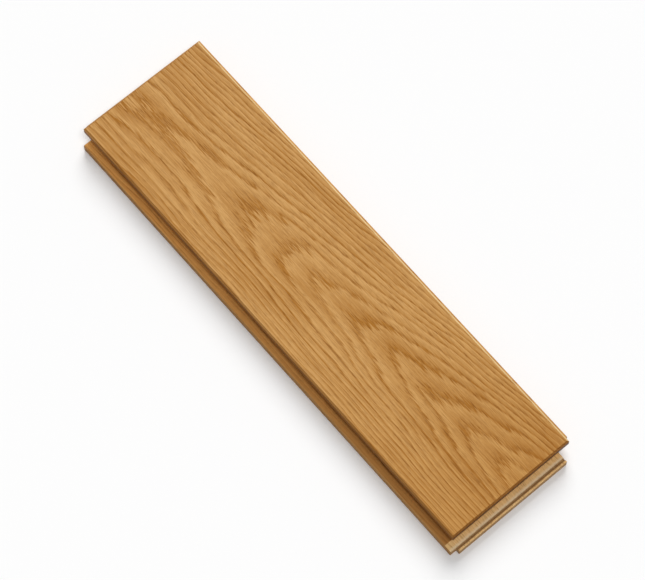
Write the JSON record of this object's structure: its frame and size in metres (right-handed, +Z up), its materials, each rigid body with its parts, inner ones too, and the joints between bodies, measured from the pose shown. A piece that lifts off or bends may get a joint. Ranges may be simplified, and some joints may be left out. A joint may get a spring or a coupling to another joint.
{
  "type": "parquet block",
  "caption": "Oak herringbone parquet block with a bevelled face, grooved lip edges and tongue edges that fit into its neighbours.",
  "frame": {"origin": "on the underside, below the centre of the face that shows in a laid floor", "axes": "+X along the block towards its lip end, +Y across it towards its tongue side, +Z up out of the face"},
  "size_m": [0.308, 0.0863, 0.015],
  "materials": {
    "oak": "satin oiled oak"
  },
  "bodies": {
    "root": {"parquet_block": "oak"}
  },
  "joints": []
}
